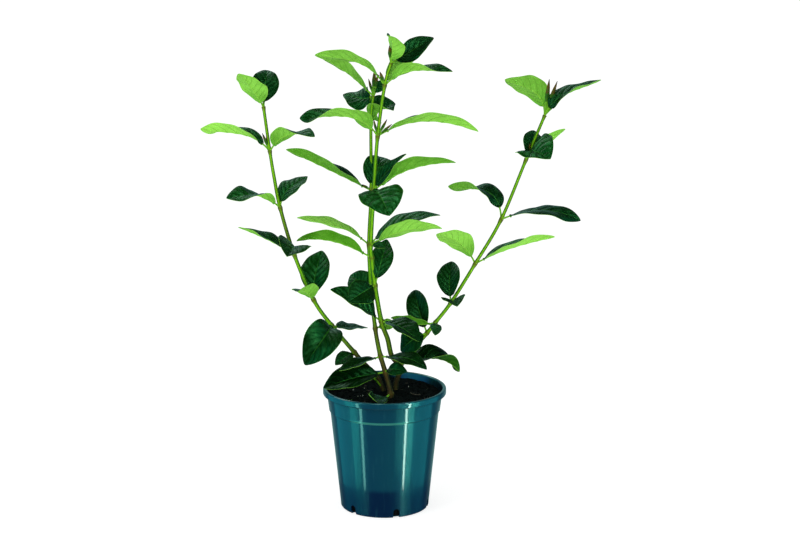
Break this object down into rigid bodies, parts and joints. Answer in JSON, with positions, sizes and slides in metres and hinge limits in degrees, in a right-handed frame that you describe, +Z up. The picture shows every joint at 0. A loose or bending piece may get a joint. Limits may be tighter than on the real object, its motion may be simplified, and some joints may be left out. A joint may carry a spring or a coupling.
{
  "type": "potted laurustinus",
  "caption": "Young evergreen laurustinus shrub with slender leafy stems, growing in dark compost in a tall round teal plastic nursery pot.",
  "frame": {"origin": "centre of the pot's flat underside", "axes": "+Z up along the pot's axis; the side that the plant is looked at from faces -Y, and the widest spread of its stems runs along X"},
  "size_m": [0.5053, 0.1603, 0.6232],
  "materials": {
    "teal_plastic": "glossy",
    "dark_compost": "crumbly, matt",
    "laurustinus_green": "satin leaf"
  },
  "bodies": {
    "root": {"pot": "teal_plastic", "soil": "dark_compost", "left_stem": "laurustinus_green", "centre_stem": "laurustinus_green", "forked_stem": "laurustinus_green"}
  },
  "joints": []
}
